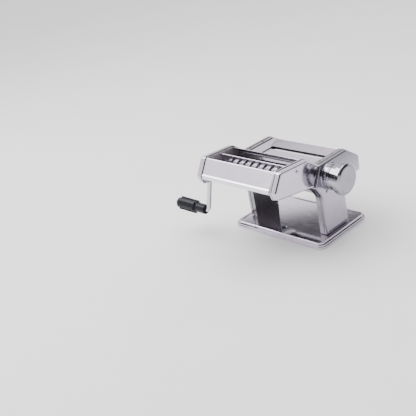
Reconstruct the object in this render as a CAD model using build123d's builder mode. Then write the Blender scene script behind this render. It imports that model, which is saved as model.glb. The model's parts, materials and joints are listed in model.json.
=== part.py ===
# Hand-cranked pasta machine with a two-width cutter head.
# Millimetres. +X is the thickness-knob side, -Y is the cutter side, +Z is up.
# The origin is at the middle of the base, on the table.
from build123d import *
from math import acos, cos, pi, radians, sin, sqrt, tan
import os

os.makedirs("parts", exist_ok=True)

# ---------------------------------------------------------------- driving sizes
base_w = 181.0
base_d = 122.0
base_h = 10.0
base_corner = 12.0
foot_gap = 0.8
leg_screw_x = 69.8
sheet = 0.8
frame_sheet = 1.2

frame_x = 66.0
rim_x = 72.5
panel_x = 80.0

roller_r = 13.5
journal_r = 5.5
roller_z = 103.8
front_y = -2.0
knob_y = -13.5
roller_gap = 1.8
rear_y = front_y + 2 * roller_r + roller_gap
roller_half = 65.4
gap_travel = 1.3

cutter_frame_x = 66.8
cutter_rim_x = 69.0
ring_r = 9.3
core_r = 6.5
pair_pitch = 17.5
cutter_tilt = 4.36
cutter_front_y = -114.5
cutter_front_z = 127.2
pair_step = 38.6

knob_face_x = 114.5
knob_r = 24.5
neck_r = 20.4
boss_r = 20.6
boss_end_x = 92.4
knob_back_x = 92.7
cap_r = 19.6
pin_track_r = 14.0
track_half_angle = 62.0
regulator_throw = 1.5

socket_r = 3.24
socket_depth = 12.4
crank_turn = 0.0
grip_y = -109.0
grip_z = 51.0
crank_rod_r = 3.8
grip_x = -99.5
grip_end_x = -167.5

gear_out_x = 76.5
gear_in_x = 71.5


def on_tilt(distance):
    """(y, z) of a point this far back along the cutter head's tilted roller line."""
    y = cutter_front_y + distance * cos(radians(cutter_tilt))
    z = cutter_front_z - distance * sin(radians(cutter_tilt))
    return (y, z)


wide_front = on_tilt(0)
wide_drive = on_tilt(pair_pitch)
narrow_drive = on_tilt(pair_step)
narrow_rear = on_tilt(pair_step + pair_pitch)

# ---------------------------------------------------------------- outlines (y, z)
main_points = [
    (-30.3, base_h + 0.2),
    (-32.5, 75.0),
    (-47.0, 96.0),
    (-31.5, 127.4),
    (34.5, 127.4),
    (65.8, 106.0),
    (66.4, 82.0),
    (22.0, 74.0),
    (25.5, base_h + 0.2),
]
main_rounding = [0.6, 22.0, 2.0, 3.0, 5.0, 4.0, 6.0, 16.0, 0.6]
cutter_points = [
    (-129.5, 112.8),
    (-134.4, 124.3),
    (-117.6, 151.2),
    (-58.5, 146.9),
    (-32.9, 129.2),
    (-49.6, 99.2),
]
cutter_rounding = [5.0, 5.0, 5.0, 6.0, 2.0, 3.0]


def outline(points, rounding, inset):
    """Closed plate outline, every corner rounded by its own radius, then moved inwards."""
    with BuildSketch() as shape:
        with BuildLine():
            Polyline(points, close=True)
        make_face()
        for point, radius in zip(points, rounding):
            fillet(shape.vertices().sort_by_distance(Vector(point[0], point[1], 0))[0], radius)
        if inset != 0:
            offset(amount=-inset, mode=Mode.REPLACE)
    return shape.sketch


def pan(points, rounding, inner_x, bevel, bead):
    """Pressed side cover for the +X side: flat raised panel, rounded wall, rolled rim."""
    depth = panel_x - inner_x
    with BuildPart() as cover:
        with BuildSketch(Plane.YZ.offset(inner_x)):
            add(outline(points, rounding, 0))
        extrude(amount=depth)
        fillet(cover.faces().sort_by(Axis.X)[-1].edges(), bevel)
        with BuildPart(mode=Mode.SUBTRACT) as hollow:
            with BuildSketch(Plane.YZ.offset(inner_x)):
                add(outline(points, rounding, sheet))
            extrude(amount=depth - sheet)
            fillet(hollow.faces().sort_by(Axis.X)[-1].edges(), bevel - sheet)
        with BuildSketch(Plane.YZ.offset(inner_x)):
            add(outline(points, rounding, -bead))
            add(outline(points, rounding, sheet), mode=Mode.SUBTRACT)
        extrude(amount=1.8)
    return cover.part


def spin_x(points, y, z):
    """Solid of revolution about an axis along X through (y, z); points are (x, radius)."""
    with BuildPart() as turned:
        with BuildSketch(Plane(origin=(0, y, z))):
            with BuildLine():
                Polyline(points, close=True)
            make_face()
        revolve(axis=Axis((0, y, z), (1, 0, 0)))
    return turned.part


def involute_tooth(teeth, pitch_r, outer_r, root_r, backlash):
    """One involute gear tooth, centred on the local x axis, as a closed list of points."""
    base_r = pitch_r * cos(radians(25))
    roll = tan(radians(25)) - radians(25)
    half_pitch_angle = (pi * pitch_r / teeth - backlash) / 2 / pitch_r
    flank = []
    steps = 6
    for step in range(steps + 1):
        radius = max(base_r, root_r) + (outer_r - max(base_r, root_r)) * step / steps
        pressure = acos(base_r / radius)
        angle = half_pitch_angle + roll - (tan(pressure) - pressure)
        flank.append((radius * cos(angle), radius * sin(angle)))
    start = (root_r * 0.9 * cos(half_pitch_angle + roll), root_r * 0.9 * sin(half_pitch_angle + roll))
    upper = [start] + flank
    lower = [(x, -y) for x, y in reversed(upper)]
    return upper + lower


def gear(teeth, pitch_r, addendum, dedendum, backlash, bore_r, centre, x_from, x_to, turn):
    """Spur gear about an axis along X; turn rotates one tooth away from +Y."""
    outer_r = pitch_r + addendum
    root_r = pitch_r - dedendum
    with BuildSketch() as tooth:
        with BuildLine():
            Polyline(involute_tooth(teeth, pitch_r, outer_r, root_r, backlash), close=True)
        make_face()
    with BuildPart() as wheel:
        with BuildSketch(Plane.YZ.offset(x_from)):
            with Locations(centre):
                Circle(root_r)
                with PolarLocations(0, teeth, start_angle=turn):
                    add(tooth.sketch)
                Circle(bore_r, mode=Mode.SUBTRACT)
        extrude(amount=x_to - x_from)
    return wheel.part


def ringed_roller(centre, pitch, ring_w, first_x, count, left_end, right_end):
    """Cutting roller: a core with evenly spaced rings and a journal at each end."""
    profile = [(left_end, 0), (left_end, 5.0), (-66.2, 5.0), (-66.2, core_r)]
    for index in range(count):
        x = first_x + index * pitch
        profile += [(x, core_r), (x, ring_r), (x + ring_w, ring_r), (x + ring_w, core_r)]
    profile += [(66.2, core_r), (66.2, 5.0), (right_end, 5.0), (right_end, 0)]
    return spin_x(profile, *centre)


def bent_strip(points, bend, half_w):
    """Sheet-metal strip folded along (y, z) points; bend is the radius of the folds."""
    with BuildPart() as strip:
        with BuildSketch(Plane.YZ.offset(-half_w)):
            with BuildLine():
                if bend > 0:
                    path = FilletPolyline(*points, radius=bend)
                else:
                    path = Polyline(*points)
            trace(path, line_width=sheet)
        extrude(amount=2 * half_w)
    return strip.part


def pan_head_screw(spot, side):
    """Cross-head screw through a side cover; side is +1 or -1 along X."""
    with BuildPart() as screw:
        with BuildSketch(Plane.YZ.offset(side * (panel_x - 6))):
            with Locations(spot):
                Circle(radius=1.25)
        extrude(amount=side * 6)
        with BuildSketch(Plane.YZ.offset(side * panel_x)):
            with Locations(spot):
                Circle(radius=2.6)
        extrude(amount=side * 1.7)
        fillet(screw.faces().sort_by(Axis.X)[-1 if side > 0 else 0].edges(), 0.8)
        with BuildSketch(Plane.YZ.offset(side * (panel_x + 1.7))):
            with Locations(spot):
                Rectangle(2.6, 0.6, rotation=20)
                Rectangle(0.6, 2.6, rotation=20)
        extrude(amount=-side * 0.9, mode=Mode.SUBTRACT)
    return screw.part


# ================================================================ base
tiers = [
    (0.0, foot_gap, 3.0),
    (1.6, foot_gap + 3.0, 0.8),
    (1.0, foot_gap + 3.8, 2.0),
    (3.4, foot_gap + 5.8, 0.8),
    (2.8, foot_gap + 6.6, base_h - foot_gap - 6.6),
]
with BuildPart() as base_shell:
    for inset, low, height in tiers:
        with BuildSketch(Plane.XY.offset(low)):
            RectangleRounded(base_w - 2 * inset, base_d - 2 * inset, base_corner - inset)
        extrude(amount=height)
    fillet(base_shell.faces().sort_by(Axis.Z)[-1].edges(), 1.4)
    # the plateau is pressed slightly lower than the bead around it
    with BuildSketch(Plane.XY.offset(base_h)):
        RectangleRounded(base_w - 15, base_d - 15, 7)
    extrude(amount=-0.9, mode=Mode.SUBTRACT)
    # hollow underside
    with BuildSketch(Plane.XY.offset(foot_gap)):
        RectangleRounded(base_w - 10, base_d - 10, base_corner - 5)
    extrude(amount=base_h - foot_gap - 2.1, mode=Mode.SUBTRACT)
    # hole that takes the table clamp's upper end
    with Locations((0, -40, base_h)):
        Hole(radius=4.6)
    # holes for the leg screws
    with Locations(*[(x, y, base_h) for x in (-leg_screw_x, leg_screw_x) for y in (-18, 12)]):
        Hole(radius=1.6)
plateau_z = base_h - 0.9

base_shell.part.label = "base_shell"
export_step(base_shell.part, "parts/base_shell.step")

with BuildPart() as clamp_block:
    with BuildSketch(Plane.XY.offset(base_h - 2.1)):
        with Locations((0, -40)):
            RectangleRounded(26, 22, 3)
            Circle(radius=4.1, mode=Mode.SUBTRACT)
    extrude(amount=-6.4)
clamp_block.part.label = "clamp_block"
export_step(clamp_block.part, "parts/clamp_block.step")

with BuildPart() as rubber_feet:
    with BuildSketch(Plane.XY):
        with GridLocations(base_w - 34, base_d - 34, 2, 2):
            Circle(radius=7)
    extrude(amount=base_h - 2.1, taper=3)
rubber_feet.part.label = "rubber_feet"
export_step(rubber_feet.part, "parts/rubber_feet.step")

# ================================================================ frame plates
slide_block_w = 16.2
slide_window_w = slide_block_w + 2 * gap_travel + 0.6
rod_r = 2.5
rod_eye_r = 4.4
rod_y = -35.0
bush_r = 8.0
tie_spots = [(-30, 82), (38, 84), (52, 98)]
cover_screw_spots = [(knob_y - 7.4, roller_z - 23.2), (knob_y + 5.8, roller_z - 23.6)]


def posts(spots, start_x, radius):
    """Round posts from a +X plate out to the inside of its cover."""
    with BuildPart() as pillars:
        with BuildSketch(Plane.YZ.offset(start_x)):
            with Locations(*spots):
                Circle(radius=radius)
        extrude(amount=panel_x - sheet - start_x)
    return pillars.part


def frame_plate():
    """Inner structural plate of the +X side: flat web with a flange turned outwards."""
    with BuildPart() as plate:
        with BuildSketch(Plane.YZ.offset(frame_x)):
            add(outline(main_points, main_rounding, 0))
        extrude(amount=rim_x - 0.4 - frame_x)
        with BuildSketch(Plane.YZ.offset(frame_x + frame_sheet)):
            add(outline(main_points, main_rounding, frame_sheet))
        extrude(amount=rim_x - frame_x, mode=Mode.SUBTRACT)
        # foot flange that stands on the base
        with BuildSketch(Plane.XY.offset(plateau_z)):
            with Locations((frame_x + (rim_x - 0.4 - frame_x) / 2, -2.4)):
                Rectangle(rim_x - 0.4 - frame_x, 52)
        extrude(amount=base_h + 1.4 - plateau_z)
        with Locations(*[(leg_screw_x, y, base_h + 1.4) for y in (-18, 12)]):
            Hole(radius=1.6)
        # seat of the rear roller's bush, and the slot that guides the front roller's slide
        with BuildSketch(Plane.YZ.offset(frame_x)):
            with Locations((rear_y, roller_z)):
                Circle(radius=bush_r)
            with Locations((front_y, roller_z)):
                Rectangle(slide_window_w, 16.2)
            with Locations((rod_y, roller_z)):
                SlotOverall(2 * rod_r + 2 * gap_travel + 0.6, 2 * rod_r + 0.6)
            with Locations(*tie_spots):
                Circle(radius=2.0)
        extrude(amount=frame_sheet, mode=Mode.SUBTRACT)
        # bored posts for the cover's screws
        add(posts(cover_screw_spots, frame_x, 3.0))
        add(posts(cover_screw_spots, frame_x, 1.3), mode=Mode.SUBTRACT)
    return plate.part


with BuildPart() as frame_plate_right:
    add(frame_plate())
frame_plate_right.part.label = "frame_plate_right"
export_step(frame_plate_right.part, "parts/frame_plate_right.step")

with BuildPart() as frame_plate_left:
    add(frame_plate())
    mirror(about=Plane.YZ, mode=Mode.REPLACE)
frame_plate_left.part.label = "frame_plate_left"
export_step(frame_plate_left.part, "parts/frame_plate_left.step")

with BuildPart() as base_screws:
    with Locations(*[(x, y, base_h + 1.4) for x in (-leg_screw_x, leg_screw_x) for y in (-18, 12)]):
        Cylinder(radius=1.55, height=5.0, align=(Align.CENTER, Align.CENTER, Align.MAX))
        Cylinder(radius=2.4, height=1.6, align=(Align.CENTER, Align.CENTER, Align.MIN))
base_screws.part.label = "base_screws"
export_step(base_screws.part, "parts/base_screws.step")

with BuildPart() as tie_rods:
    with BuildSketch(Plane.YZ.offset(-frame_x)):
        with Locations(*tie_spots):
            Circle(radius=3.4)
    extrude(amount=2 * frame_x)
    with BuildSketch(Plane.YZ.offset(-frame_x - frame_sheet)):
        with Locations(*tie_spots):
            Circle(radius=1.95)
    extrude(amount=2 * frame_x + 2 * frame_sheet)
tie_rods.part.label = "tie_rods"
export_step(tie_rods.part, "parts/tie_rods.step")

with BuildPart() as tie_nuts:
    for side in (-1, 1):
        start = frame_x + frame_sheet
        with BuildSketch(Plane.YZ.offset(side * start)):
            with Locations(*tie_spots):
                RegularPolygon(radius=3.6, side_count=6)
        extrude(amount=side * 2.2)
tie_nuts.part.label = "tie_nuts"
export_step(tie_nuts.part, "parts/tie_nuts.step")

# ================================================================ outer side covers
main_cover = pan(main_points, main_rounding, rim_x, 3.4, 0.6)

with BuildPart() as side_cover_right:
    add(main_cover)
    with BuildSketch(Plane.YZ.offset(panel_x)):
        with Locations((knob_y, roller_z)):
            Circle(radius=8.5)
        with Locations(*cover_screw_spots):
            Circle(radius=1.5)
    extrude(amount=-2, mode=Mode.SUBTRACT)
side_cover_right.part.label = "side_cover_right"
export_step(side_cover_right.part, "parts/side_cover_right.step")

with BuildPart() as side_cover_left:
    add(main_cover)
    mirror(about=Plane.YZ, mode=Mode.REPLACE)
    with BuildSketch(Plane.YZ.offset(-panel_x)):
        with Locations((rear_y, roller_z)):
            Circle(radius=6.4)
        with Locations(*cover_screw_spots):
            Circle(radius=1.5)
    extrude(amount=2, mode=Mode.SUBTRACT)
side_cover_left.part.label = "side_cover_left"
export_step(side_cover_left.part, "parts/side_cover_left.step")

with BuildPart() as cover_screws:
    for side in (-1, 1):
        for spot in cover_screw_spots:
            add(pan_head_screw(spot, side))
cover_screws.part.label = "cover_screws"
export_step(cover_screws.part, "parts/cover_screws.step")

with BuildPart() as crank_collar:
    add(spin_x([(-80.0, 6.45), (-80.0, 10.6), (-80.8, 10.6), (-81.6, 9.8), (-81.6, 6.45)], rear_y, roller_z))
crank_collar.part.label = "crank_collar"
export_step(crank_collar.part, "parts/crank_collar.step")

# ================================================================ sheets between the plates
cheek_x = 55.4
cheek_section = [(cheek_x, 118.8), (frame_x, 125.1), (frame_x, 124.17), (cheek_x, 117.87)]
cheek_side = [(cheek_x, 118.8), (frame_x, 125.1), (frame_x + 4, 125.1), (frame_x + 4, 110), (cheek_x, 110)]

with BuildPart() as front_apron:
    add(bent_strip([(-41.6, 92.6), (-44.2, 95.4), (-30.4, 124.0)], 0, frame_x))
front_apron.part.label = "front_apron"
export_step(front_apron.part, "parts/front_apron.step")

# flat sheet in front of the feed slot, with an upturned front lip
with BuildPart() as front_guide:
    add(bent_strip([(-27.4, 122.4), (-24.4, 118.3), (8.4, 118.3)], 1.2, cheek_x))
front_guide.part.label = "front_guide"
export_step(front_guide.part, "parts/front_guide.step")

# sloping sheet behind the feed slot, trimmed to the cheeks
with BuildPart() as feed_tray:
    add(bent_strip([(16.6, 119.6), (39.4, 122.6)], 0, frame_x))
    for side in (-1, 1):
        with BuildSketch(Plane.XZ.offset(-10)):
            with BuildLine():
                Polyline(*[(side * x, z) for x, z in cheek_side], close=True)
            make_face()
        extrude(amount=-40, mode=Mode.SUBTRACT)
feed_tray.part.label = "feed_tray"
export_step(feed_tray.part, "parts/feed_tray.step")

# inclined cheeks that keep the dough off the roller ends
with BuildPart() as feed_cheeks:
    for side in (-1, 1):
        with BuildSketch(Plane.XZ.offset(25.5)):
            with BuildLine():
                Polyline(*[(side * x, z) for x, z in cheek_section], close=True)
            make_face()
        extrude(amount=-65.0)
feed_cheeks.part.label = "feed_cheeks"
export_step(feed_cheeks.part, "parts/feed_cheeks.step")

with BuildPart() as rear_cover:
    add(bent_strip([(40.6, 122.4), (63.4, 106.4), (64.2, 84.4), (54.0, 81.4)], 2.2, frame_x))
rear_cover.part.label = "rear_cover"
export_step(rear_cover.part, "parts/rear_cover.step")

with BuildPart() as rear_scraper:
    add(bent_strip([(43.0, 87.6), (40.1, 88.0), (31.9, 90.2)], 0, frame_x))
rear_scraper.part.label = "rear_scraper"
export_step(rear_scraper.part, "parts/rear_scraper.step")

# ================================================================ smooth rollers
with BuildPart() as roller_bushes:
    for side in (-1, 1):
        ring = [(frame_x, journal_r + 0.05), (frame_x, bush_r), (frame_x + frame_sheet, bush_r)]
        ring += [(frame_x + frame_sheet, 10.0), (68.6, 10.0), (68.6, journal_r + 0.05)]
        add(spin_x([(side * x, radius) for x, radius in ring], rear_y, roller_z))
roller_bushes.part.label = "roller_bushes"
export_step(roller_bushes.part, "parts/roller_bushes.step")


def smooth_roller(y, left_end, right_end):
    """Plain roller with softened ends and a journal on each side."""
    profile = [(left_end, 0), (left_end, journal_r), (-roller_half, journal_r)]
    profile += [(-roller_half, roller_r - 0.5), (-roller_half + 0.5, roller_r)]
    profile += [(roller_half - 0.5, roller_r), (roller_half, roller_r - 0.5)]
    profile += [(roller_half, journal_r), (right_end, journal_r), (right_end, 0)]
    return spin_x(profile, y, roller_z)


with BuildPart() as front_roller:
    add(smooth_roller(front_y, -77.2, 70.6))
front_roller.part.label = "front_roller"
export_step(front_roller.part, "parts/front_roller.step")

with BuildPart() as rear_roller:
    add(smooth_roller(rear_y, -78.4, 70.6))
    with BuildSketch(Plane.YZ.offset(-78.4)):
        with Locations((rear_y, roller_z)):
            RegularPolygon(radius=socket_r, side_count=6)
    extrude(amount=socket_depth, mode=Mode.SUBTRACT)
rear_roller.part.label = "rear_roller"
export_step(rear_roller.part, "parts/rear_roller.step")

main_pitch_r = roller_r + roller_gap / 2 - gap_travel / 2
with BuildPart() as rear_roller_gear:
    add(gear(16, main_pitch_r, 1.65, 2.15, 0.5, journal_r, (rear_y, roller_z), -gear_out_x, -gear_in_x, 0))
rear_roller_gear.part.label = "rear_roller_gear"
export_step(rear_roller_gear.part, "parts/rear_roller_gear.step")

with BuildPart() as front_roller_gear:
    front_axis = (front_y, roller_z)
    add(gear(16, main_pitch_r, 1.65, 2.15, 0.5, journal_r, front_axis, -gear_out_x, -gear_in_x, 11.25))
front_roller_gear.part.label = "front_roller_gear"
export_step(front_roller_gear.part, "parts/front_roller_gear.step")


# ================================================================ sliding carriage of the front roller
def slide_arm():
    """Bearing arm of the +X side: guide block in the frame slot, plate, rod eye."""
    with BuildPart() as arm:
        with BuildSketch(Plane.YZ.offset(frame_x)):
            with Locations((front_y, roller_z)):
                Rectangle(slide_block_w, 16.0)
        extrude(amount=1.8)
        with BuildSketch(Plane.YZ.offset(frame_x + 1.8)):
            with BuildLine():
                Line((front_y, roller_z + 9), (rod_y, roller_z + rod_eye_r))
                Line((rod_y, roller_z - rod_eye_r), (front_y, roller_z - 9))
                Line((front_y, roller_z + 9), (front_y, roller_z - 9))
                Line((rod_y, roller_z + rod_eye_r), (rod_y, roller_z - rod_eye_r))
            make_face()
            with Locations((front_y, roller_z)):
                Circle(radius=9)
            with Locations((rod_y, roller_z)):
                Circle(radius=rod_eye_r)
                Circle(radius=rod_r, mode=Mode.SUBTRACT)
        extrude(amount=3.0)
        with BuildSketch(Plane.YZ.offset(frame_x)):
            with Locations((front_y, roller_z)):
                Circle(radius=journal_r + 0.05)
        extrude(amount=4.8, mode=Mode.SUBTRACT)
    return arm.part


with BuildPart() as slide_arm_left:
    add(slide_arm())
    mirror(about=Plane.YZ, mode=Mode.REPLACE)
slide_arm_left.part.label = "slide_arm_left"
export_step(slide_arm_left.part, "parts/slide_arm_left.step")

# the right arm carries a pad with the upright slot for the regulator's off-centre pin
with BuildPart() as slide_arm_right:
    add(slide_arm())
    with BuildSketch(Plane.YZ.offset(frame_x + 4.8)):
        with Locations((knob_y, roller_z + regulator_throw - 0.4)):
            RectangleRounded(10.4, 13.6, 2)
            SlotOverall(9.4, 6.24, rotation=90, mode=Mode.SUBTRACT)
    extrude(amount=3.8)
slide_arm_right.part.label = "slide_arm_right"
export_step(slide_arm_right.part, "parts/slide_arm_right.step")

with BuildPart() as slide_rod:
    add(spin_x([(-70.8, 0), (-70.8, rod_r), (70.8, rod_r), (70.8, 0)], rod_y, roller_z))
slide_rod.part.label = "slide_rod"
export_step(slide_rod.part, "parts/slide_rod.step")

with BuildPart() as front_scraper:
    scraper_path = [(rod_y, roller_z - rod_r - 0.4), (rod_y + 2.4, roller_z - rod_r - 0.4)]
    scraper_path += [(-14.0, 90.4), (-7.1, 90.2)]
    add(bent_strip(scraper_path, 0, 64.4))
front_scraper.part.label = "front_scraper"
export_step(front_scraper.part, "parts/front_scraper.step")

# ================================================================ thickness regulator
with BuildPart() as regulator_boss:
    profile = [(79.0, 4.06), (79.0, 8.4), (88.2, 8.4), (88.2, boss_r - 2.4), (panel_x, boss_r - 2.4)]
    profile += [(panel_x, boss_r + 0.5), (81.2, boss_r + 0.5), (82.0, boss_r), (89.2, boss_r)]
    profile += [(89.4, boss_r - 0.8), (90.4, boss_r - 0.8), (90.6, boss_r)]
    profile += [(boss_end_x - 0.6, boss_r), (boss_end_x, boss_r - 0.6), (boss_end_x, 4.06)]
    add(spin_x(profile, knob_y, roller_z))
    # curved track whose ends stop the knob's pin
    with BuildSketch(Plane.YZ.offset(boss_end_x)):
        with BuildLine():
            track = CenterArc((knob_y, roller_z), pin_track_r, 90 - track_half_angle, 2 * track_half_angle)
        SlotArc(arc=track, height=3.6)
    extrude(amount=-2.4, mode=Mode.SUBTRACT)
regulator_boss.part.label = "regulator_boss"
export_step(regulator_boss.part, "parts/regulator_boss.step")

with BuildPart() as regulator_shaft:
    profile = [(75.0, 0), (75.0, 7), (78.6, 7), (78.6, 4)]
    profile += [(108.2, 4), (108.2, 6), (109.6, 6), (109.6, 0)]
    add(spin_x(profile, knob_y, roller_z))
    with BuildSketch(Plane.YZ.offset(75.0)):
        with Locations((knob_y, roller_z + regulator_throw)):
            Circle(radius=3.0)
    extrude(amount=-3.6)
regulator_shaft.part.label = "regulator_shaft"
export_step(regulator_shaft.part, "parts/regulator_shaft.step")

with BuildPart() as regulator_knob:
    profile = [(knob_back_x, 4.06), (knob_back_x, neck_r - 0.5), (knob_back_x + 0.5, neck_r), (103.2, neck_r)]
    profile += [(103.8, knob_r - 0.5), (104.3, knob_r), (107.5, knob_r), (107.8, knob_r - 0.5)]
    profile += [(108.5, knob_r - 0.5), (108.8, knob_r), (111.0, knob_r), (112.2, knob_r - 0.7)]
    profile += [(knob_face_x - 0.2, 20.4), (knob_face_x - 0.2, cap_r), (112.7, cap_r), (112.7, 18.0)]
    profile += [(96.2, 18.0), (96.2, 7.5), (100.0, 7.5), (100.0, 4.06)]
    add(spin_x(profile, knob_y, roller_z))
    # stop pin that runs in the boss's track
    with BuildSketch(Plane.YZ.offset(knob_back_x)):
        with Locations((knob_y, roller_z + pin_track_r)):
            Circle(radius=1.4)
    extrude(amount=-2.0, taper=8)
regulator_knob.part.label = "regulator_knob"
export_step(regulator_knob.part, "parts/regulator_knob.step")

with BuildPart() as knob_face:
    profile = [(112.7, 0), (112.7, cap_r), (knob_face_x - 0.6, cap_r)]
    profile += [(knob_face_x, cap_r - 0.6), (knob_face_x, 0)]
    add(spin_x(profile, knob_y, roller_z))
knob_face.part.label = "knob_face"
export_step(knob_face.part, "parts/knob_face.step")

with BuildPart() as knob_spring:
    with BuildLine() as coil:
        Helix(pitch=1.9, height=7.0, radius=5.2, center=(100.6, knob_y, roller_z), direction=(1, 0, 0))
    with BuildSketch(Plane(origin=coil.line @ 0, z_dir=coil.line % 0)):
        Circle(radius=0.45)
    sweep(is_frenet=True)
knob_spring.part.label = "knob_spring"
export_step(knob_spring.part, "parts/knob_spring.step")

# ================================================================ cutter head
cutter_cover = pan(cutter_points, cutter_rounding, cutter_rim_x, 3.6, 0.9)
cutter_screw_spot = (-83.3, 139.0)
cutter_tie_spots = [(-127.5, 122.5), (-52.0, 108.5), (-46.0, 133.0)]

with BuildPart() as cutter_cover_right:
    add(cutter_cover)
    with BuildSketch(Plane.YZ.offset(panel_x)):
        with Locations(cutter_screw_spot):
            Circle(radius=1.5)
        with Locations((-44.4, 121.2)):
            SlotOverall(11.5, 4.6, rotation=61)
    extrude(amount=-2, mode=Mode.SUBTRACT)
cutter_cover_right.part.label = "cutter_cover_right"
export_step(cutter_cover_right.part, "parts/cutter_cover_right.step")

with BuildPart() as cutter_cover_left:
    add(cutter_cover)
    mirror(about=Plane.YZ, mode=Mode.REPLACE)
    with BuildSketch(Plane.YZ.offset(-panel_x)):
        with Locations(cutter_screw_spot):
            Circle(radius=1.5)
        with Locations(wide_drive, narrow_drive):
            Circle(radius=5.6)
    extrude(amount=2, mode=Mode.SUBTRACT)
cutter_cover_left.part.label = "cutter_cover_left"
export_step(cutter_cover_left.part, "parts/cutter_cover_left.step")


def cutter_frame():
    """Flat structural plate of the cutter head, +X side."""
    with BuildPart() as plate:
        with BuildSketch(Plane.YZ.offset(cutter_frame_x)):
            add(outline(cutter_points, cutter_rounding, 1.2))
            with Locations(wide_front, wide_drive, narrow_drive, narrow_rear):
                Circle(radius=7.0, mode=Mode.SUBTRACT)
            with Locations(*cutter_tie_spots):
                Circle(radius=1.5, mode=Mode.SUBTRACT)
        extrude(amount=frame_sheet)
        add(posts([cutter_screw_spot], cutter_frame_x, 3.0))
        add(posts([cutter_screw_spot], cutter_frame_x, 1.3), mode=Mode.SUBTRACT)
    return plate.part


with BuildPart() as cutter_frame_right:
    add(cutter_frame())
cutter_frame_right.part.label = "cutter_frame_right"
export_step(cutter_frame_right.part, "parts/cutter_frame_right.step")

with BuildPart() as cutter_frame_left:
    add(cutter_frame())
    mirror(about=Plane.YZ, mode=Mode.REPLACE)
cutter_frame_left.part.label = "cutter_frame_left"
export_step(cutter_frame_left.part, "parts/cutter_frame_left.step")

with BuildPart() as cutter_tie_rods:
    with BuildSketch(Plane.YZ.offset(-cutter_frame_x)):
        with Locations(*cutter_tie_spots):
            Circle(radius=2.0)
    extrude(amount=2 * cutter_frame_x)
    with BuildSketch(Plane.YZ.offset(-cutter_frame_x - frame_sheet)):
        with Locations(*cutter_tie_spots):
            Circle(radius=1.45)
    extrude(amount=2 * cutter_frame_x + 2 * frame_sheet)
cutter_tie_rods.part.label = "cutter_tie_rods"
export_step(cutter_tie_rods.part, "parts/cutter_tie_rods.step")

with BuildPart() as cutter_nuts:
    for side in (-1, 1):
        with BuildSketch(Plane.YZ.offset(side * (cutter_frame_x + frame_sheet))):
            with Locations(*cutter_tie_spots):
                RegularPolygon(radius=2.9, side_count=6)
        extrude(amount=side * 1.8)
cutter_nuts.part.label = "cutter_nuts"
export_step(cutter_nuts.part, "parts/cutter_nuts.step")

with BuildPart() as cutter_screws:
    for side in (-1, 1):
        add(pan_head_screw(cutter_screw_spot, side))
cutter_screws.part.label = "cutter_screws"
export_step(cutter_screws.part, "parts/cutter_screws.step")

with BuildPart() as cutter_bushes:
    for side in (-1, 1):
        ring = [(cutter_frame_x, 5.05), (cutter_frame_x, 7.0), (cutter_frame_x + frame_sheet, 7.0)]
        ring += [(cutter_frame_x + frame_sheet, 8.2), (69.4, 8.2), (69.4, 5.05)]
        for spot in (wide_front, wide_drive, narrow_drive, narrow_rear):
            add(spin_x([(side * x, radius) for x, radius in ring], *spot))
cutter_bushes.part.label = "cutter_bushes"
export_step(cutter_bushes.part, "parts/cutter_bushes.step")

with BuildPart() as cutter_front_cover:
    cover_path = [(-112.8, 147.6), (-116.5, 149.6), (-131.2, 128.6)]
    cover_path += [(-133.5, 127.4), (-133.4, 121.4), (-130.8, 120.9)]
    add(bent_strip(cover_path, 1.0, cutter_frame_x))
cutter_front_cover.part.label = "cutter_front_cover"
export_step(cutter_front_cover.part, "parts/cutter_front_cover.step")

with BuildPart() as cutter_rear_cover:
    add(bent_strip([(-58.0, 144.7), (-35.0, 128.7), (-49.8, 102.2)], 1.5, cutter_frame_x))
cutter_rear_cover.part.label = "cutter_rear_cover"
export_step(cutter_rear_cover.part, "parts/cutter_rear_cover.step")

with BuildPart() as cutter_hooks:
    for x in (-46, 46):
        with Locations((x, 0, 0)):
            add(bent_strip([(-45.5, 137.05), (-35.2, 129.9), (-28.9, 129.6), (-28.9, 122.4)], 0.8, 6))
cutter_hooks.part.label = "cutter_hooks"
export_step(cutter_hooks.part, "parts/cutter_hooks.step")

divider_y = (wide_drive[0] + narrow_drive[0]) / 2
with BuildPart() as divider_sheet:
    with BuildSketch(Plane.YZ.offset(-cutter_frame_x)):
        with Locations((divider_y, 132.0)):
            Rectangle(sheet, 26.0)
        with Locations((divider_y, 145.0)):
            Circle(radius=0.9)
    extrude(amount=2 * cutter_frame_x)
divider_sheet.part.label = "divider_sheet"
export_step(divider_sheet.part, "parts/divider_sheet.step")

with BuildPart() as wide_front_roller:
    add(ringed_roller(wide_front, 13.0, 6.4, -65.0, 10, -77.2, 70.4))
wide_front_roller.part.label = "wide_front_roller"
export_step(wide_front_roller.part, "parts/wide_front_roller.step")

with BuildPart() as wide_drive_roller:
    add(ringed_roller(wide_drive, 13.0, 6.4, -58.5, 10, -78.4, 70.4))
    with BuildSketch(Plane.YZ.offset(-78.4)):
        with Locations(wide_drive):
            RegularPolygon(radius=socket_r, side_count=6, rotation=crank_turn)
    extrude(amount=socket_depth, mode=Mode.SUBTRACT)
wide_drive_roller.part.label = "wide_drive_roller"
export_step(wide_drive_roller.part, "parts/wide_drive_roller.step")

with BuildPart() as narrow_drive_roller:
    add(ringed_roller(narrow_drive, 4.0, 1.9, -64.0, 32, -78.4, 70.4))
    with BuildSketch(Plane.YZ.offset(-78.4)):
        with Locations(narrow_drive):
            RegularPolygon(radius=socket_r, side_count=6)
    extrude(amount=socket_depth, mode=Mode.SUBTRACT)
narrow_drive_roller.part.label = "narrow_drive_roller"
export_step(narrow_drive_roller.part, "parts/narrow_drive_roller.step")

with BuildPart() as narrow_rear_roller:
    add(ringed_roller(narrow_rear, 4.0, 1.9, -62.0, 32, -77.2, 70.4))
narrow_rear_roller.part.label = "narrow_rear_roller"
export_step(narrow_rear_roller.part, "parts/narrow_rear_roller.step")

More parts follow.
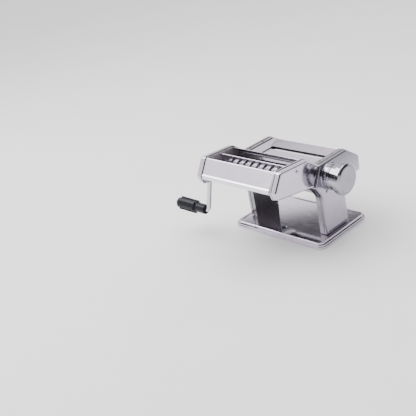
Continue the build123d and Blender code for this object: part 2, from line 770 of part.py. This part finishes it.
half_tooth = 180 / 14
with BuildPart() as wide_front_gear:
    add(gear(14, 8.75, 1.1, 1.45, 0.3, 5.0, wide_front, -76.0, -71.0, -cutter_tilt))
wide_front_gear.part.label = "wide_front_gear"
export_step(wide_front_gear.part, "parts/wide_front_gear.step")

with BuildPart() as wide_drive_gear:
    add(gear(14, 8.75, 1.1, 1.45, 0.3, 5.0, wide_drive, -76.0, -71.0, half_tooth - cutter_tilt))
wide_drive_gear.part.label = "wide_drive_gear"
export_step(wide_drive_gear.part, "parts/wide_drive_gear.step")

with BuildPart() as narrow_drive_gear:
    add(gear(14, 8.75, 1.1, 1.45, 0.3, 5.0, narrow_drive, -76.0, -71.0, -cutter_tilt))
narrow_drive_gear.part.label = "narrow_drive_gear"
export_step(narrow_drive_gear.part, "parts/narrow_drive_gear.step")

with BuildPart() as narrow_rear_gear:
    add(gear(14, 8.75, 1.1, 1.45, 0.3, 5.0, narrow_rear, -76.0, -71.0, half_tooth - cutter_tilt))
narrow_rear_gear.part.label = "narrow_rear_gear"
export_step(narrow_rear_gear.part, "parts/narrow_rear_gear.step")


def comb(axis_spot, strip_y, finger_w, pitch, first_x, count):
    """Stripper comb: a strip under the rollers with one finger in each groove."""
    y, z = axis_spot
    near, far = strip_y
    inner = far if abs(far - y) < abs(near - y) else near
    with BuildPart() as teeth:
        with BuildSketch(Plane.XY.offset(z - 8.3)):
            with Locations((0, (near + far) / 2)):
                Rectangle(2 * cutter_frame_x, abs(far - near))
            for index in range(count):
                with Locations((first_x + index * pitch, (inner + y) / 2)):
                    Rectangle(finger_w, abs(inner - y))
        extrude(amount=1.0)
    return teeth.part


with BuildPart() as wide_comb_front:
    add(comb(wide_front, (-129.6, -124.8), 5.6, 13.0, -55.3, 10))
wide_comb_front.part.label = "wide_comb_front"
export_step(wide_comb_front.part, "parts/wide_comb_front.step")

with BuildPart() as wide_comb_rear:
    add(comb(wide_drive, (-90.4, -87.3), 5.6, 13.0, -61.8, 10))
wide_comb_rear.part.label = "wide_comb_rear"
export_step(wide_comb_rear.part, "parts/wide_comb_rear.step")

with BuildPart() as narrow_comb_front:
    add(comb(narrow_drive, (-85.8, -82.7), 1.4, 4.0, -61.05, 32))
narrow_comb_front.part.label = "narrow_comb_front"
export_step(narrow_comb_front.part, "parts/narrow_comb_front.step")

with BuildPart() as narrow_comb_rear:
    add(comb(narrow_rear, (-51.8, -47.0), 1.4, 4.0, -63.05, 32))
narrow_comb_rear.part.label = "narrow_comb_rear"
export_step(narrow_comb_rear.part, "parts/narrow_comb_rear.step")

# ================================================================ crank
arm_drop = sqrt((grip_y - wide_drive[0]) ** 2 + (grip_z - wide_drive[1]) ** 2)
arm_dir = Vector(0, (grip_y - wide_drive[0]) / arm_drop, (grip_z - wide_drive[1]) / arm_drop)
crank_plane = Plane(
    origin=(0, wide_drive[0], wide_drive[1]),
    x_dir=(1, 0, 0),
    z_dir=Vector(1, 0, 0).cross(arm_dir),
)
with BuildPart() as crank_arm:
    with BuildLine(crank_plane) as rod_path:
        FilletPolyline((-79, 0), (-85.8, 0), (-94.0, arm_drop), (-161.4, arm_drop), radius=6.0)
    with BuildSketch(Plane.YZ.offset(-79)):
        with Locations(wide_drive):
            Circle(radius=crank_rod_r)
    sweep(path=rod_path.line)
    with BuildSketch(Plane.YZ.offset(-79)):
        with Locations(wide_drive):
            RegularPolygon(radius=socket_r - 0.12, side_count=6, rotation=crank_turn)
    extrude(amount=11.8)
crank_arm.part.label = "crank_arm"
export_step(crank_arm.part, "parts/crank_arm.step")

with BuildPart() as grip_washer:
    add(spin_x([(-160.2, crank_rod_r), (-160.2, 5.2), (-161.2, 5.2), (-161.2, crank_rod_r)], grip_y, grip_z))
grip_washer.part.label = "grip_washer"
export_step(grip_washer.part, "parts/grip_washer.step")

with BuildPart() as crank_grip:
    profile = [(grip_x, crank_rod_r + 0.08), (grip_x, 7.3), (grip_x - 0.7, 8.0), (-118.6, 8.0)]
    profile += [(-120.6, 9.2), (-158.0, 9.2), (-161.0, 8.7), (-163.6, 7.4)]
    profile += [(-163.6, 5.6), (-159.9, 5.6), (-159.9, crank_rod_r + 0.08)]
    add(spin_x(profile, grip_y, grip_z))
    # raised ribs around the outer two thirds
    with BuildSketch(Plane.YZ.offset(-121.4)):
        with Locations((grip_y, grip_z)):
            with PolarLocations(9.4, 6):
                RectangleRounded(2.8, 5.4, 0.6)
    extrude(amount=-37.6)
crank_grip.part.label = "crank_grip"
export_step(crank_grip.part, "parts/crank_grip.step")

with BuildPart() as grip_cap:
    profile = [(-162.0, 0), (-162.0, 5.6), (-163.6, 5.6), (-163.6, 7.4), (-165.4, 5.9)]
    profile += [(-166.7, 3.9), (grip_end_x + 0.15, 1.9), (grip_end_x, 0)]
    add(spin_x(profile, grip_y, grip_z))
grip_cap.part.label = "grip_cap"
export_step(grip_cap.part, "parts/grip_cap.step")
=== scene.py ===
import json
import math
import bpy
from mathutils import Matrix, Vector


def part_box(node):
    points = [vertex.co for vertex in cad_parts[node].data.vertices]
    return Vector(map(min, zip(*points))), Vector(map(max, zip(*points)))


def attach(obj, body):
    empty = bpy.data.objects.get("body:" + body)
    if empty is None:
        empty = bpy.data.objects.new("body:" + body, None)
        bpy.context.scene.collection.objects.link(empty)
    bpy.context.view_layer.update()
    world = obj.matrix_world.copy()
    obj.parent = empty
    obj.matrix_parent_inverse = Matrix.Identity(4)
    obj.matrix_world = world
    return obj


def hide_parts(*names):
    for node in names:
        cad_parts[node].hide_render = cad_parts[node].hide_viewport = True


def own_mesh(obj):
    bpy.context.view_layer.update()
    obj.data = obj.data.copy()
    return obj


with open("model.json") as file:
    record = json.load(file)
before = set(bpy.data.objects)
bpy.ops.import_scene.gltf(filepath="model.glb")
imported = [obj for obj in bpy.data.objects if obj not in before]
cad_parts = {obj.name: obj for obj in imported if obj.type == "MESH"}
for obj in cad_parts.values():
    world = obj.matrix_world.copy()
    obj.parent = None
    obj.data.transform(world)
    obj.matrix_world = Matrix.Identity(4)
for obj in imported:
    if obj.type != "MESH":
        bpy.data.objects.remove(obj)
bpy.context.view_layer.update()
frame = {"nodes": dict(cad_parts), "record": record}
nodes = frame["nodes"]


# ---------------------------------------------------------------- small helpers
evenly = (1, 1, 1)
# noise features per metre, and the depth of the waves in metres
cloud_size = 38
moulded_cloud_size = 60
handling_size = 95
wave_size = 11
wave_depth = 0.0009
# the Mix node's colour sockets, which share their names with its other types
mix_first = 6
mix_second = 7
mix_colour = 2


def material(name):
    """A new node material, with its node tree and its Principled shader."""
    mat = bpy.data.materials.new(name)
    mat.use_nodes = True
    tree = mat.node_tree
    tree.nodes.clear()
    out = tree.nodes.new("ShaderNodeOutputMaterial")
    bsdf = tree.nodes.new("ShaderNodeBsdfPrincipled")
    tree.links.new(bsdf.outputs["BSDF"], out.inputs["Surface"])
    return mat, tree, bsdf


def place(tree, scale):
    """Object coordinates in metres, stretched by scale, so grain can run one way."""
    coords = tree.nodes.new("ShaderNodeTexCoord")
    mapping = tree.nodes.new("ShaderNodeMapping")
    mapping.inputs["Scale"].default_value = scale
    tree.links.new(coords.outputs["Object"], mapping.inputs["Vector"])
    return mapping.outputs["Vector"]


def noise(tree, scale, size, detail, rough=0.5):
    """Noise with size features per metre, stretched by scale."""
    node = tree.nodes.new("ShaderNodeTexNoise")
    node.inputs["Scale"].default_value = size
    node.inputs["Detail"].default_value = detail
    node.inputs["Roughness"].default_value = rough
    tree.links.new(place(tree, scale), node.inputs["Vector"])
    return node.outputs["Fac"]


def spread(tree, value, low, high, start=0.3, end=0.7):
    """Maps a texture value between start and end onto low to high."""
    node = tree.nodes.new("ShaderNodeMapRange")
    node.inputs["From Min"].default_value = start
    node.inputs["From Max"].default_value = end
    node.inputs["To Min"].default_value = low
    node.inputs["To Max"].default_value = high
    tree.links.new(value, node.inputs["Value"])
    return node.outputs["Result"]


def tints(tree, value, first, second, start=0.35, end=0.65):
    """Colour that drifts between two tints with a texture value."""
    ramp = tree.nodes.new("ShaderNodeValToRGB")
    ramp.color_ramp.elements[0].position = start
    ramp.color_ramp.elements[0].color = (*first, 1)
    ramp.color_ramp.elements[1].position = end
    ramp.color_ramp.elements[1].color = (*second, 1)
    tree.links.new(value, ramp.inputs["Fac"])
    return ramp.outputs["Color"]


def bumps(tree, bsdf, layers):
    """Chains bump layers, each (height output, distance in metres, strength)."""
    previous = None
    for height, distance, strength in layers:
        node = tree.nodes.new("ShaderNodeBump")
        node.inputs["Distance"].default_value = distance
        node.inputs["Strength"].default_value = strength
        tree.links.new(height, node.inputs["Height"])
        if previous is not None:
            tree.links.new(previous, node.inputs["Normal"])
        previous = node.outputs["Normal"]
    tree.links.new(previous, bsdf.inputs["Normal"])


def along(tree, output, axis, start, end):
    """From 0 at start to 1 at end, by how far one axis of the position or the normal is from zero."""
    coords = tree.nodes.new("ShaderNodeTexCoord")
    parts = tree.nodes.new("ShaderNodeSeparateXYZ")
    size = tree.nodes.new("ShaderNodeMath")
    size.operation = "ABSOLUTE"
    tree.links.new(coords.outputs[output], parts.inputs["Vector"])
    tree.links.new(parts.outputs[axis], size.inputs[0])
    return spread(tree, size.outputs["Value"], 0.0, 1.0, start, end)


def metal(name, light, dark, rough, grain_scale, grain_size, grain_depth, smudge=0.05, painted_shade=(), waves=0.12):
    """Metal with drifting tint, smudged roughness, one-way grain and faint waviness.

    Each entry of the painted shade list is (Object or Normal, axis, start, end, tint): painted shade, where
    the darker tint takes over from start to end.
    """
    mat, tree, bsdf = material(name)
    bsdf.inputs["Metallic"].default_value = 1.0
    cloud = noise(tree, evenly, cloud_size, 4)
    colour = tints(tree, cloud, light, dark)
    for output, axis, start, end, tint in painted_shade:
        layer = tree.nodes.new("ShaderNodeMix")
        layer.data_type = "RGBA"
        tree.links.new(along(tree, output, axis, start, end), layer.inputs["Factor"])
        tree.links.new(colour, layer.inputs[mix_first])
        layer.inputs[mix_second].default_value = (*tint, 1)
        colour = layer.outputs[mix_colour]
    tree.links.new(colour, bsdf.inputs["Base Color"])
    grain = noise(tree, grain_scale, grain_size, 3, 0.6)
    handling = noise(tree, evenly, handling_size, 6, 0.65)
    mix = tree.nodes.new("ShaderNodeMath")
    mix.operation = "ADD"
    tree.links.new(spread(tree, grain, rough[0], rough[1]), mix.inputs[0])
    tree.links.new(spread(tree, handling, 0.0, smudge, 0.5, 0.75), mix.inputs[1])
    tree.links.new(mix.outputs["Value"], bsdf.inputs["Roughness"])
    wave = noise(tree, evenly, wave_size, 2)
    bumps(tree, bsdf, [(grain, grain_depth, 0.35), (wave, wave_depth, waves)])
    return mat


def moulded(name, light, dark, rough, grain_size, depth, shine=0.5):
    """Moulded plastic or rubber with a fine surface grain and slight wear."""
    mat, tree, bsdf = material(name)
    cloud = noise(tree, evenly, moulded_cloud_size, 5)
    tree.links.new(tints(tree, cloud, light, dark), bsdf.inputs["Base Color"])
    grain = noise(tree, evenly, grain_size, 4, 0.6)
    tree.links.new(spread(tree, grain, rough[0], rough[1]), bsdf.inputs["Roughness"])
    bsdf.inputs["Specular IOR Level"].default_value = shine
    bumps(tree, bsdf, [(grain, depth, 0.4)])
    return mat


# ---------------------------------------------------------------- materials
along_x = (0.06, 1.0, 1.0)
along_z = (1.0, 1.0, 0.06)
round_x = (1.0, 0.05, 0.05)
finishes = {
    "polished_steel": metal(
        "polished steel", (0.625, 0.580, 0.668), (0.577, 0.534, 0.618), (0.08, 0.15), along_x, 900, 0.00002
    ),
    "chromed_knob": metal(
        "chromed knob", (0.40, 0.39, 0.43), (0.34, 0.33, 0.37), (0.08, 0.15), round_x, 1400, 0.00003
    ),
    "brushed_sheet": metal(
        "brushed sheet", (0.352, 0.331, 0.356), (0.272, 0.256, 0.275), (0.16, 0.26), along_z, 1200, 0.00004
    ),
    "roller_alloy": metal(
        "roller alloy", (0.527, 0.511, 0.524), (0.451, 0.435, 0.455), (0.2, 0.3), round_x, 1600, 0.00003
    ),
    "cutter_alloy": metal(
        "cutter alloy", (0.459, 0.444, 0.464), (0.374, 0.360, 0.386), (0.22, 0.32), round_x, 1600, 0.00003
    ),
    "gear_steel": metal(
        "gear steel", (0.442, 0.427, 0.455), (0.357, 0.343, 0.369), (0.28, 0.42), along_x, 1100, 0.00004
    ),
    "zinc_screws": metal(
        "zinc screws", (0.55, 0.63, 0.74), (0.40, 0.47, 0.58), (0.2, 0.34), along_x, 2200, 0.00002
    ),
    "spring_steel": metal(
        "spring steel", (0.357, 0.343, 0.361), (0.281, 0.268, 0.283), (0.3, 0.4), along_x, 1500, 0.00002
    ),
    "crank_rod": metal(
        "crank rod", (0.636, 0.627, 0.678), (0.568, 0.559, 0.608), (0.16, 0.26), along_z, 1500, 0.00002
    ),
    "white_bush": moulded(
        "white bush", (0.80, 0.79, 0.75), (0.72, 0.71, 0.67), (0.42, 0.58), 2400, 0.00003
    ),
    "foot_rubber": moulded(
        "foot rubber", (0.045, 0.045, 0.047), (0.028, 0.028, 0.03), (0.65, 0.85), 3200, 0.00006
    ),
    "black_grip": moulded(
        "black grip", (0.009, 0.010, 0.016), (0.005, 0.006, 0.010), (0.20, 0.30), 2600, 0.00002, 0.18
    ),
}

# painted shade: darker walls and a darker upper part on the side covers, and a darker low part on the rear
# cover, mixed into their base colour
painted_shade_cover_walls = ("Normal", "X", 0.85, 0.45, (0.31, 0.295, 0.33))
painted_shade_cover_top = ("Object", "Z", 0.086, 0.122, (0.235, 0.225, 0.265))
painted_shade_rear_low = ("Object", "Z", 0.088, 0.070, (0.10, 0.098, 0.105))
# painted shade: the side covers take a darker copy of the polished steel tint, with painted shade on their
# walls and upper part
shaded_pressed_cover = metal(
    "pressed cover", (0.46, 0.430, 0.505), (0.415, 0.388, 0.456), (0.09, 0.16), along_z, 900, 0.00002,
    painted_shade=(painted_shade_cover_top, painted_shade_cover_walls),
)
# painted shade: the low part of the rear cover darkens to near black
rear_sheet = metal(
    "rear sheet", (0.560, 0.536, 0.590), (0.512, 0.489, 0.541), (0.12, 0.22), along_x, 900, 0.00002,
    painted_shade=(painted_shade_rear_low,),
)
# painted light: the cutter's front cover takes a lighter copy of the polished steel tint
front_cover_painted_light = metal(
    "bright front", (0.800, 0.745, 0.838), (0.755, 0.700, 0.792), (0.09, 0.16), along_x, 900, 0.00002
)
base_steel = metal(
    "base steel", (0.77, 0.72, 0.81), (0.72, 0.67, 0.76), (0.05, 0.09), along_x, 900, 0.00001,
    smudge=0.02, waves=0.03,
)
# painted light: the inner faces of the cutter frame, which sit in shade, take a much lighter copy of the
# brushed sheet tint
inner_sheet_painted_light = metal(
    "inner sheet", (0.72, 0.69, 0.71), (0.64, 0.61, 0.63), (0.50, 0.60), along_z, 1200, 0.00004
)
satin_face = metal(
    "satin face", (0.385, 0.366, 0.408), (0.345, 0.328, 0.368), (0.26, 0.34), along_z, 1500, 0.00002
)
special = {
    "side_cover_right": shaded_pressed_cover, "side_cover_left": shaded_pressed_cover, "knob_face": satin_face,
    "rear_cover": rear_sheet, "cutter_front_cover": front_cover_painted_light, "base_shell": base_steel,
    "cutter_frame_left": inner_sheet_painted_light, "cutter_frame_right": inner_sheet_painted_light,
}
for part in frame["record"]["subparts"]:
    cad = nodes[part["node"]]
    finish = special.get(part["node"], finishes[part["material_slot"]])
    if not cad.material_slots:
        cad.data.materials.append(finish)
    for held in cad.material_slots:
        held.material = finish


# ---------------------------------------------------------------- spring inside the knob
def wound_wire(name, low, high, wire_r, turns, steps=32, sides=10):
    """A round wire wound along X inside a box, as one closed mesh."""
    coil_r = (high[1] - low[1]) / 2 - wire_r
    centre = Vector((0, (low[1] + high[1]) / 2, (low[2] + high[2]) / 2))
    along_coil = Vector((1, 0, 0))
    count = round(turns * steps)
    points = []
    for step in range(count + 1):
        angle = 2 * math.pi * step / steps
        outwards = Vector((0, math.cos(angle), math.sin(angle)))
        place_x = low[0] + wire_r + (high[0] - low[0] - 2 * wire_r) * step / count
        middle = centre + along_coil * place_x + outwards * coil_r
        for side in range(sides):
            around = 2 * math.pi * side / sides
            points.append(middle + (outwards * math.cos(around) + along_coil * math.sin(around)) * wire_r)
    faces = [tuple(range(sides)), tuple(reversed(range(count * sides, (count + 1) * sides)))]
    for step in range(count):
        for side in range(sides):
            first, second = step * sides + side, step * sides + (side + 1) % sides
            faces.append((first, first + sides, second + sides, second))
    mesh = bpy.data.meshes.new(name)
    mesh.from_pydata([tuple(p) for p in points], [], faces)
    for face in mesh.polygons:
        face.use_smooth = len(face.vertices) == 4
    piece = bpy.data.objects.new(name, mesh)
    bpy.context.scene.collection.objects.link(piece)
    return piece


spring_low, spring_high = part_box("knob_spring")
spring_wire_r = 0.00045
spring_turns = 3.69
spring = wound_wire("wound_spring", spring_low, spring_high, spring_wire_r, spring_turns)
spring.data.materials.append(finishes["spring_steel"])
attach(spring, "regulator_knob")
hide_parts("knob_spring")
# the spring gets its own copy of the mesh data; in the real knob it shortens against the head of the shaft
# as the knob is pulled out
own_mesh(spring)

# ---------------------------------------------------------------- stage
floor_reach = 60
floor_corners = [(x * floor_reach, y * floor_reach, 0) for x, y in ((-1, -1), (1, -1), (1, 1), (-1, 1))]
floor_mesh = bpy.data.meshes.new("floor")
floor_mesh.from_pydata(floor_corners, [], [(0, 1, 2, 3)])
floor = bpy.data.objects.new("floor", floor_mesh)
bpy.context.scene.collection.objects.link(floor)
pale, tree, bsdf = material("pale floor")
floor_tint = tints(tree, noise(tree, evenly, 6, 3), (0.95, 0.95, 0.95), (0.93, 0.93, 0.935))
tree.links.new(floor_tint, bsdf.inputs["Base Color"])
bsdf.inputs["Roughness"].default_value = 0.6
floor.data.materials.append(pale)

world = bpy.data.worlds.new("studio")
bpy.context.scene.world = world
world.use_nodes = True
sky = world.node_tree
background = sky.nodes["Background"]
background.inputs["Strength"].default_value = 1.66
coords = sky.nodes.new("ShaderNodeTexCoord")
split = sky.nodes.new("ShaderNodeSeparateXYZ")
sky.links.new(coords.outputs["Generated"], split.inputs["Vector"])


def sky_ramp(value, stops):
    """Grey-lilac brightness over a direction value; stops are (position, level)."""
    ramp = sky.nodes.new("ShaderNodeValToRGB")
    ramp.color_ramp.interpolation = "EASE"
    for index, (position, level) in enumerate(stops):
        if index < 2:
            stop = ramp.color_ramp.elements[index]
            stop.position = position
        else:
            stop = ramp.color_ramp.elements.new(position)
        stop.color = (level, level * 0.985, min(1.0, level * 1.01), 1)
    sky.links.new(value, ramp.inputs["Fac"])
    return ramp.outputs["Color"]


def dark_patch(colour, heading, reach, height, level):
    """Darkens the sky down to level around a heading; reach and height are ramp stops."""
    facing = sky.nodes.new("ShaderNodeVectorMath")
    facing.operation = "DOT_PRODUCT"
    facing.inputs[1].default_value = heading
    sky.links.new(coords.outputs["Generated"], facing.inputs[0])
    overlap = sky.nodes.new("ShaderNodeMix")
    overlap.data_type = "RGBA"
    overlap.blend_type = "MULTIPLY"
    overlap.inputs["Factor"].default_value = 1.0
    sky.links.new(sky_ramp(facing.outputs["Value"], reach), overlap.inputs[mix_first])
    sky.links.new(sky_ramp(split.outputs["Z"], height), overlap.inputs[mix_second])
    darker = sky.nodes.new("ShaderNodeMapRange")
    darker.inputs["To Min"].default_value = 1.0
    darker.inputs["To Max"].default_value = level
    sky.links.new(overlap.outputs[mix_colour], darker.inputs["Value"])
    blend = sky.nodes.new("ShaderNodeMix")
    blend.data_type = "RGBA"
    blend.blend_type = "MULTIPLY"
    blend.inputs["Factor"].default_value = 1.0
    sky.links.new(colour, blend.inputs[mix_first])
    sky.links.new(darker.outputs["Result"], blend.inputs[mix_second])
    return blend.outputs[mix_colour]


# a dark wall stands on the right above a bright strip, and a dark flag hangs behind on the left
sky_colour = sky_ramp(split.outputs["Z"], [(0.0, 0.86), (0.75, 1.0), (0.12, 0.92), (0.35, 1.0)])
wall_height = [(0.08, 0.0), (0.86, 0.0), (0.20, 1.0), (0.66, 1.0)]
sky_colour = dark_patch(sky_colour, (0.98, -0.20, 0.0), [(0.10, 0.0), (0.36, 1.0)], wall_height, 0.05)
flag_height = [(0.438, 0.0), (0.524, 0.0), (0.449, 1.0), (0.508, 1.0)]
sky_colour = dark_patch(sky_colour, (-0.66, 0.75, 0.0), [(0.70, 0.0), (0.78, 1.0)], flag_height, 0.03)
sky.links.new(sky_colour, background.inputs["Color"])


def softbox(name, spot, target, size, power, colour=(1, 1, 1)):
    """A large rectangular lamp aimed at a point."""
    lamp = bpy.data.lights.new(name, "AREA")
    lamp.shape = "RECTANGLE"
    lamp.size, lamp.size_y = size
    lamp.energy = power
    lamp.color = colour
    holder = bpy.data.objects.new(name, lamp)
    bpy.context.scene.collection.objects.link(holder)
    holder.location = spot
    holder.rotation_mode = "QUATERNION"
    holder.rotation_quaternion = (Vector(spot) - Vector(target)).to_track_quat("Z", "Y")


softbox("key", (-0.85, -0.55, 1.45), (0, 0, 0.08), (1.3, 1.2), 30)
softbox("top", (0.1, 0.35, 1.6), (0, 0, 0.05), (1.2, 0.9), 8)

# ---------------------------------------------------------------- camera
azimuth, elevation, roll = math.radians(49.31), math.radians(25.02), math.radians(-10.47)
distance = 1.3535
sensor_width = 36
focal_length = 62.7231
target = Vector((-0.2219, 0.0, -0.0235))
level = math.cos(elevation)
back = Vector((math.sin(azimuth) * level, -math.cos(azimuth) * level, math.sin(elevation)))
right = (-back).cross(Vector((0, 0, 1))).normalized()
up = right.cross(-back)
turned_right = right * math.cos(roll) + up * math.sin(roll)
turned_up = -right * math.sin(roll) + up * math.cos(roll)
lens = bpy.data.cameras.new("camera")
lens.sensor_width = sensor_width
lens.lens = focal_length
lens.clip_start, lens.clip_end = 0.02, 200
camera = bpy.data.objects.new("camera", lens)
bpy.context.scene.collection.objects.link(camera)
turn = Matrix((turned_right, turned_up, back)).transposed().to_4x4()
camera.matrix_world = Matrix.Translation(target + back * distance) @ turn
bpy.context.scene.camera = camera
